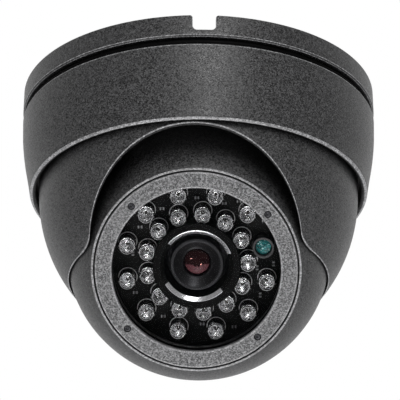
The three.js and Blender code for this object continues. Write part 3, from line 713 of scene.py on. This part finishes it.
class HoodShape:
    """The hood's surfaces and edges, from its CAD outline, with an arch cut into it from the front."""

    half_width, foot = 28.2, 2.6                 # the arch's, and how far its feet flare into the rim
    flange_edge, flange_round = 0.25, 0.2        # roundings outside and inside the flange
    outer_steps, inner_steps = 40, 24

    def __init__(self):
        outline = turned_outline("hood", degrees=90)
        self.flange_r = max(r for r, z in outline)
        self.top = max(z for r, z in outline)
        self.rim = min(z for r, z in outline)
        self.flange_low = min(z for r, z in outline if r > self.flange_r - 0.1)
        below = [(r, z) for r, z in outline if z < self.flange_low - 1]
        self.outer_r = max(r for r, z in below)
        self.equator = max(z for r, z in below if abs(r - self.outer_r) < 2 * NEAR)
        self.inner_r = min(r for r, z in outline if z > self.flange_low)
        self.ball_z = joints["eyeball_tilt"]["pos_m"][2] / MM
        self.seat_r = math.hypot(min(r for r, z in outline if z < self.rim + 0.1), self.rim - self.ball_z)
        front = [p for p in corners("hood") if p[1] < -20 and p[2] < self.flange_low - 1]
        self.arch_top = max(p[2] for p in front if abs(p[0]) < 1)

    def outside(self, z):
        """The outer radius at a height."""
        return math.sqrt(self.outer_r**2 - min(0.0, z - self.equator) ** 2)

    def inside(self, z):
        """The inner radius: the shell's, or that of the ball's seat where the seat is the wider."""
        seat = math.sqrt(max(0.0, self.seat_r**2 - (z - self.ball_z) ** 2)) if z < self.ball_z else 0
        return max(math.sqrt(self.inner_r**2 - min(0.0, z - self.equator) ** 2), seat)

    def opening(self, z):
        """Half width of the arch at a height; its feet flare into the rim."""
        height = self.arch_top - self.rim
        if z >= self.rim + self.foot:
            return self.half_width * math.sqrt(max(0.0, 1 - ((z - self.rim) / height) ** 2))
        leg = self.half_width * math.sqrt(1 - (self.foot / height) ** 2)
        return leg + self.foot - math.sqrt(max(0.0, self.foot**2 - (self.rim + self.foot - z) ** 2))

    def edge_height(self, angle):
        """Height of the shell's lower edge at an angle from the front, found by halving."""
        if self.outside(self.rim) * math.sin(angle) >= self.opening(self.rim) or angle > math.pi / 2:
            return self.rim
        low, high = self.rim, self.arch_top
        for _ in range(50):
            middle = (low + high) / 2
            wide = self.outside(middle) * math.sin(angle) > self.opening(middle)
            low, high = (low, middle) if wide else (middle, high)
        return low

    def column(self, angle):
        """Points round the shell's section at an angle, and which of them are on the lower edge that takes
        the lighter paint, wear and a painted highlight.
        """
        z = self.edge_height(abs(angle))
        outer_edge = from_front(self.outside(z), angle, z)
        inner_angle = angle
        if z > self.rim + HAIR:
            inner_angle = math.asin(max(-1, min(1, self.outside(z) * math.sin(angle) / self.inside(z))))
        inner_edge = from_front(self.inside(z), inner_angle, z)
        width = (inner_edge - outer_edge).length
        outer_round, inner_round = min(0.32, 0.4 * width), min(0.12, 0.3 * width)
        top, low, edge = self.top, self.flange_low, self.flange_edge
        points = [from_front(self.inner_r, inner_angle, top - self.flange_round)]
        for r, h in ((self.inner_r + self.flange_round, top), (self.flange_r - edge, top),
                     (self.flange_r, top - edge), (self.flange_r, low + edge),
                     (self.flange_r - edge, low), (self.outer_r, low)):
            points.append(from_front(r, angle, h))
        for i in range(1, self.outer_steps + 1):
            h = low + (z + outer_round - low) * i / self.outer_steps
            points.append(from_front(self.outside(h), angle, h))
        before, first_highlit = points[-1], len(points) - 1
        towards = outer_edge + (inner_edge - outer_edge) * (outer_round / max(width, HAIR))
        for t in (0.25, 0.5, 0.75, 1):
            points.append(before * (1 - t) ** 2 + outer_edge * 2 * t * (1 - t) + towards * t * t)
        # the rounded lower edge takes the lighter paint: wear and a painted highlight
        highlit_wear = range(first_highlit, len(points) - 1)
        points.append(inner_edge + (outer_edge - inner_edge) * (inner_round / max(width, HAIR)))
        rise = top - 1 - z
        for i in range(self.inner_steps):
            h = z + inner_round + rise * i / self.inner_steps
            points.append(from_front(self.inside(h), inner_angle, h))
        return points, highlit_wear

    def pockets(self):
        """Cutters for the recesses inside the hood that take the bracket's ends and its pins."""
        ear_r, ear_end, pin_r, pin_end = 3.7, 37.35, 1.62, 38.9
        cutters = []
        for side in (-90, 90):
            across = Matrix.Translation((0, 0, self.ball_z)) @ Matrix.Rotation(math.radians(side), 4, "Y")
            cutters.append(shape("ear_pocket", *peg(ear_r, self.seat_r - 3, ear_end), None, across))
            cutters.append(shape("pin_pocket", *peg(pin_r, ear_end - 0.3, pin_end), None, across))
        return cutters


def hood():
    """The pan hood, built from columns that are closest together where the arch's edge is steep."""
    hood_shape = HoodShape()
    half = [*np.arange(0, 46, 1.0), *np.arange(46, 64, 0.3), *np.arange(64, 180, 1.5)]
    angles = [math.radians(a) for a in [*half, 180, *[-a for a in reversed(half) if a > 0]]]
    columns = [hood_shape.column(angle) for angle in angles]
    count = len(columns[0][0])
    vertices = [tuple(v) for points, _ in columns for v in points]
    numbers = [int(k in highlit_wear) for _, highlit_wear in columns for k in range(count)]
    faces = []
    for i in range(len(columns)):
        j = (i + 1) % len(columns)
        for k in range(count):
            following = (k + 1) % count
            faces.append((i * count + k, i * count + following, j * count + following, j * count + k))
    piece = shape("hood_fine", vertices, faces, numbers, UPRIGHT, PAINTED, sharp=50)
    carved(piece, hood_shape.pockets(), sharp=50)
    return stands_for(piece, "hood")


# ------------------------------------------------------------------ eyeball shell
def eyeball_shell():
    """The housing with its rim in the lighter paint (wear and a painted highlight), the window and its
    gasket, and the bezel with four screws.
    """
    outline = turned_outline("eyeball_housing", EYE, 60)
    face = max(z for r, z in outline)
    rim_h, rim_r = 0.5, 27.2

    # The front rim takes the lighter paint: wear, and a painted highlight along the rim.
    def rim(r, z):
        return z > face - rim_h and r > rim_r

    shell = turned("eyeball_housing_fine", softened(outline, 0.22, 24, rim), PAINTED, EYE)
    stands_for(shell, "eyeball_housing")
    window = softened(turned_outline("front_window", EYE), 0.2)
    stands_for(turned("front_window_fine", window, [looks["window_glass"]], EYE, MEDIUM), "front_window")
    gasket = softened(turned_outline("window_gasket", EYE), 0.1)
    gasket = turned("window_gasket_fine", gasket, [looks["black_rubber"]], EYE, MEDIUM)
    stands_for(gasket, "window_gasket")
    bezel = softened(turned_outline("bezel_ring", EYE, 85), 0.22)
    bezel = turned("bezel_ring_fine", bezel, BEZEL_PAINTED, EYE)
    holes, head, key, play, sunk = [], 1.2, 0.42, 0.15, 0.62
    for i in range(1, 5):
        node = f"bezel_screw_{i}"
        x, y, _, high, radius = reach(node, EYE)
        holes.append(shape("hole", *peg(radius + play, high - sunk, high + 2, x, y, 32), None, EYE))
        screw = socket_screw(f"{node}_fine", radius, head, key, [looks["black_steel"]])
        moved(screw, EYE @ Matrix.Translation((x, y, high - head)))
        stands_for(screw, node)
    carved(bezel, holes, edge=0.07)
    stands_for(bezel, "bezel_ring")


# ------------------------------------------------------------------ what the window shows
def led_parts(height, radius):
    """A clear 5 mm emitter along Z, as (mesh, face number) parts: flanged body with a dome, silver
    reflector bowl and posts, the die, and two pale hoops, painted highlights where the flange and the dome
    catch light."""
    dome, flange, flange_h, foot = height - radius, radius + 0.15, 0.8, 1.0
    skin = [(0, 0), (flange, 0), (flange, flange_h), (flange - 0.1, 0.9), (radius, foot)]
    skin += [(radius, dome * t) for t in (0.4, 0.7, 1.0)]
    for a in np.linspace(0, math.pi / 2, 13)[1:-1]:
        skin.append((radius * math.cos(a), dome + radius * math.sin(a)))
    skin.append((0, height))
    rim_r, rim_z, floor_r, depth, lip, wall = 0.82 * radius, dome - 0.5, 0.24 * radius, 1.25, 0.1, 0.15
    floor_z = rim_z - depth
    steps = [(t, math.sin(t * math.pi / 2)) for t in np.linspace(0, 1, 9)]
    bowl = [(0, floor_z), (floor_r, floor_z)]
    bowl += [(floor_r + (rim_r - lip - floor_r) * rise, rim_z - depth * (1 - t)) for t, rise in steps[1:]]
    bowl += [(rim_r, rim_z + 0.02), (rim_r, rim_z - wall)]
    for t, rise in reversed(steps[:-1]):
        bowl.append((floor_r + wall + (rim_r - floor_r - wall) * rise, rim_z - wall - depth * (1 - t)))
    bowl += [(0, floor_z - 0.25)]
    die_r, die_h = 0.34, 0.3
    die = [(0, floor_z), (die_r, floor_z), (die_r - 0.04, floor_z + die_h), (0, floor_z + die_h)]
    post, second, start = 0.27, 1.2, 0.1
    low_post = box_of((-post, -post, start), (post, post, floor_z - 0.2))
    high_post = box_of((second, -post, start), (second + 2 * post, post, floor_z - 0.6))
    # pale hoops at the flange and in the dome: painted highlights
    dome_hoop = hoop(0.8 * radius, dome + 0.62 * radius, 0.09)
    return [(turn(skin, 40), EPOXY), (turn(bowl, 36), SILVERED), (low_post, SILVERED), (high_post, SILVERED),
            (turn(die, 4), DIE), (hoop(flange, foot, 0.16), HIGHLIGHT), (dome_hoop, HIGHLIGHT)]


def hoop(radius, height, width):
    """A thin flat ring, which carries a painted highlight where an edge catches the light."""
    half = 0.03
    low, high, inner = height - half, height + half, radius - width
    return turn([(inner, low), (radius, low), (radius, high), (inner, high), (inner, low)], 40)


def pieced(name, parts, place, materials):
    """One piece from several (mesh, face number) parts."""
    vertices, faces, numbers = [], [], []
    for (spots, polygons, *_), number in parts:
        start = len(vertices)
        vertices += spots
        faces += [tuple(start + i for i in face) for face in polygons]
        numbers += [number] * len(polygons)
    return shape(name, vertices, faces, numbers, place, materials, 35)


def emitters():
    """The 24 LEDs, each leaning a little and spun its own way, as hand-soldered ones do."""
    lean_limit, short = math.radians(1.5), 0.1
    for node in (n for n in body_of if n.startswith(("led_outer", "led_inner"))):
        x, y, low, high, radius = reach(node, EYE)
        lean = Matrix.Rotation(random.uniform(-lean_limit, lean_limit), 4, "X")
        spin = Matrix.Rotation(random.uniform(0, 2 * math.pi), 4, "Z")
        place = EYE @ Matrix.Translation((x, y, low)) @ spin @ lean
        stands_for(pieced(f"{node}_fine", led_parts(high - low - short, radius), place, EMITTER), node)


def resistor(x, y, face, half_x, half_y):
    """A chip lying on the board and its two tinned ends, as (mesh, face number) parts."""
    tall, cap, wrap, over = 0.4, 0.2, 0.04, 0.03
    parts = [(box_of((x - half_x, y - half_y, face), (x + half_x, y + half_y, face + tall)), 0)]
    for side in (-1, 1):
        if half_x > half_y:
            end_x, end_y = x + side * (half_x - cap / 2), y
            cap_x, cap_y = cap / 2 + wrap, half_y + over
        else:
            end_x, end_y = x, y + side * (half_y - cap / 2)
            cap_x, cap_y = half_x + over, cap / 2 + wrap
        low = (end_x - cap_x, end_y - cap_y, face)
        parts.append((box_of(low, (end_x + cap_x, end_y + cap_y, face + tall + over)), 1))
    return parts


def led_board():
    """The black board, with small resistors scattered clear of the LEDs and the photocell."""
    outline = softened(turned_outline("led_board", EYE, 85), 0.1)
    board = turned("led_board_fine", outline, [looks["black_board"]], EYE, MEDIUM)
    stands_for(board, "led_board")
    face = reach("led_board", EYE)[3]
    taken = [reach(n, EYE)[:2] for n in body_of if n.startswith(("led_outer", "led_inner", "photocell"))]
    wanted, near_r, far_r, clear = 16, 16, 21.3, 3.2
    long_half, short_half = 0.55, 0.3
    parts = []
    while wanted:
        radius, angle = random.uniform(near_r, far_r), random.uniform(0, 2 * math.pi)
        x, y = radius * math.cos(angle), radius * math.sin(angle)
        if min(math.hypot(x - a, y - b) for a, b in taken) < clear:
            continue
        taken.append((x, y))
        wanted -= 1
        size = (long_half, short_half) if random.random() < 0.5 else (short_half, long_half)
        parts += resistor(x, y, face, *size)
    chips = pieced("led_board_resistors", parts, EYE, CHIP)
    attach(chips, "eyeball")


def light_sensor():
    """The photocell with its domed face, and the black sleeve round it."""
    x, y, low, high, radius = reach("photocell", EYE)
    place = EYE @ Matrix.Translation((x, y, 0))
    straight, rounded, flat_r, sag = high - 0.5, high - 0.25, radius * 0.6, 0.06
    crown = [(0, low), (radius, low), (radius, straight), (radius - 0.1, rounded)]
    crown += [(flat_r, high - sag), (0, high)]
    cell = turned("photocell_fine", softened(crown, 0.1), [looks["photocell_resin"]], place, FINE)
    stands_for(cell, "photocell")
    outline = softened(turned_outline("photocell_sleeve", place), 0.15)
    stands_for(turned("photocell_sleeve_fine", outline, [sleeve_plastic], place, FINE), "photocell_sleeve")


def centre_of(face, vertices):
    """The mean of a face's corners."""
    return [sum(vertices[v][k] for v in face) / len(face) for k in range(3)]


def lens_shroud():
    """The black sleeve round the lens. Two stretches of the chamfer round its bore get bright metal, a
    painted reflection of the lamps.
    """
    outline = turned_outline("lens_shroud", EYE)
    front = max(z for r, z in outline)
    bore = min(r for r, z in outline)
    chamfer_r = min(r for r, z in outline if z > front - 0.01)
    # the bright metal on these stretches of the chamfer is a painted reflection
    chamfer_h, glint_stretches = 0.9, ((20, 139), (209, 314))
    rounded = [(r, z, bore < r < chamfer_r + 0.1 and z > front - chamfer_h)
               for r, z, _ in softened(outline, 0.12)]
    vertices, faces, on_chamfer = turn(rounded, 180)
    numbers = []
    for face, chamfered in zip(faces, on_chamfer):
        x, y, _ = centre_of(face, vertices)
        angle = math.degrees(math.atan2(y, x)) % 360
        numbers.append(int(chamfered and any(start < angle < end for start, end in glint_stretches)))
    stands_for(shape("lens_shroud_fine", vertices, faces, numbers, EYE, SHROUD), "lens_shroud")


def lens():
    """The lens barrel and its front glass, which has a pink crescent on its lower half: a painted
    reflection.
    """
    barrel = softened(turned_outline("lens_barrel", EYE), 0.12)
    stands_for(turned("lens_barrel_fine", barrel, [looks["lens_metal"]], EYE, MEDIUM), "lens_barrel")
    glass = softened(turned_outline("lens_front_glass", EYE), 0.1, 50)
    vertices, faces, _ = turn(glass, FINE)
    crown = max(z for x, y, z in vertices)
    # a pink crescent on the glass's lower half: a painted reflection
    reflection_r, gap_r, gap_y, highest_y, depth = 3.2, 2.0, 1.0, -0.5, 1
    numbers = []
    for face in faces:
        x, y, z = centre_of(face, vertices)
        in_reflection = y < highest_y and math.hypot(x, y) < reflection_r and z > crown - depth
        numbers.append(int(in_reflection and math.hypot(x, y - gap_y) > gap_r))
    glass = shape("lens_front_glass_fine", vertices, faces, numbers, EYE, GLASS_WITH_REFLECTION_PAINT)
    stands_for(glass, "lens_front_glass")


def carried_over():
    """The CAD pieces that stay get their material and softer edges."""
    edge = 0.08
    stood_for = {node for o in bpy.context.scene.objects for node in o.get("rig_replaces", [])}
    for node, piece in frame["nodes"].items():
        if node in stood_for:
            continue
        piece.data.materials.clear()
        piece.data.materials.append(looks[slot_of[node]])
        eased(piece, edge)


# ------------------------------------------------------------------ studio
def direction(azimuth, elevation):
    """A unit vector. Azimuth 0 is in front of the object and 90 to the right of the picture."""
    a, e = math.radians(azimuth), math.radians(elevation)
    return Vector((math.sin(a) * math.cos(e), -math.cos(a) * math.cos(e), math.sin(e)))


def studio(view):
    """A white room that lights the object less from the viewer's side, over a pale floor far below."""
    viewer_side, far_side, begins, ends = 0.3, 1.0, 0.1, 0.85
    world = bpy.data.worlds.new("studio")
    world.use_nodes = True
    nodes, links = world.node_tree.nodes, world.node_tree.links
    where = nodes.new("ShaderNodeTexCoord")
    facing = nodes.new("ShaderNodeVectorMath")
    facing.operation = "DOT_PRODUCT"
    facing.inputs[1].default_value = -view
    level = nodes.new("ShaderNodeMapRange")
    level.interpolation_type = "SMOOTHSTEP"
    sockets = {"From Min": begins, "From Max": ends, "To Min": viewer_side, "To Max": far_side}
    for socket, value in sockets.items():
        level.inputs[socket].default_value = value
    links.new(where.outputs["Generated"], facing.inputs[0])
    links.new(facing.outputs["Value"], level.inputs["Value"])
    path, brighter = nodes.new("ShaderNodeLightPath"), nodes.new("ShaderNodeMath")
    brighter.operation = "MAXIMUM"
    links.new(path.outputs["Is Camera Ray"], brighter.inputs[0])
    links.new(level.outputs["Result"], brighter.inputs[1])
    links.new(brighter.outputs["Value"], nodes["Background"].inputs["Strength"])
    nodes["Background"].inputs["Color"].default_value = (1, 1, 1, 1)
    bpy.context.scene.world = world
    bpy.context.scene.view_settings.view_transform = "Standard"
    half, floor_z = 60000, -7000
    square = ((-half, -half, floor_z), (half, -half, floor_z), (half, half, floor_z), (-half, half, floor_z))
    floor = shape("floor", square, [(0, 1, 2, 3)])
    ground = Look("floor", Roughness=0.9)
    ground.colour(ground.ramp(ground.noise(900, 2.0), (0.3, grey(0.86)), (0.7, grey(0.88))))
    floor.data.materials.append(ground.material)


def soft_box(name, azimuth, elevation, size, radiance, target):
    """An area light aimed at the target from 1.2 m away, of this size in metres. The camera can't see it."""
    away, distance = direction(azimuth, elevation), 1.2
    data = bpy.data.lights.new(name, "AREA")
    data.shape, data.size, data.size_y = "RECTANGLE", *size
    data.energy = radiance * math.pi * size[0] * size[1]
    lamp = bpy.data.objects.new(name, data)
    lamp.location = target + away * distance
    lamp.rotation_mode = "QUATERNION"
    lamp.rotation_quaternion = away.to_track_quat("Z", "Y")
    lamp.visible_camera = False
    bpy.context.scene.collection.objects.link(lamp)


def camera():
    """Looks up from in front, from far enough away to flatten the object. Gives its direction and target."""
    away = direction(2.1, -26.7)
    middle = Vector((0.4, 0, -31.5)) * MM
    distance, across = 4.0, 0.1069               # metres: to the object, and over the picture's width
    data = bpy.data.cameras.new("camera")
    data.sensor_width = 36
    data.lens = data.sensor_width * distance / across
    data.clip_start, data.clip_end = 0.01, 500
    view = bpy.data.objects.new("camera", data)
    view.location = middle + away * distance
    view.rotation_mode = "QUATERNION"
    view.rotation_quaternion = away.to_track_quat("Z", "Y")
    bpy.context.scene.collection.objects.link(view)
    bpy.context.scene.camera = view
    return away, middle


towards_viewer, target = camera()
studio(towards_viewer)
soft_box("key", azimuth=10, elevation=25, size=(0.4, 0.9), radiance=7.0, target=target)
soft_box("low_front", azimuth=-4, elevation=-84, size=(0.3, 0.3), radiance=8.0, target=target)
soft_box("below", azimuth=0, elevation=-100, size=(0.8, 0.5), radiance=5.5, target=target)
soft_box("sparkle_left", azimuth=-32, elevation=-36, size=(0.1, 0.1), radiance=60.0, target=target)
soft_box("sparkle_right", azimuth=30, elevation=-62, size=(0.1, 0.1), radiance=60.0, target=target)
base_pieces()
clamp_ring()
hood()
eyeball_shell()
emitters()
led_board()
light_sensor()
lens_shroud()
lens()
carried_over()
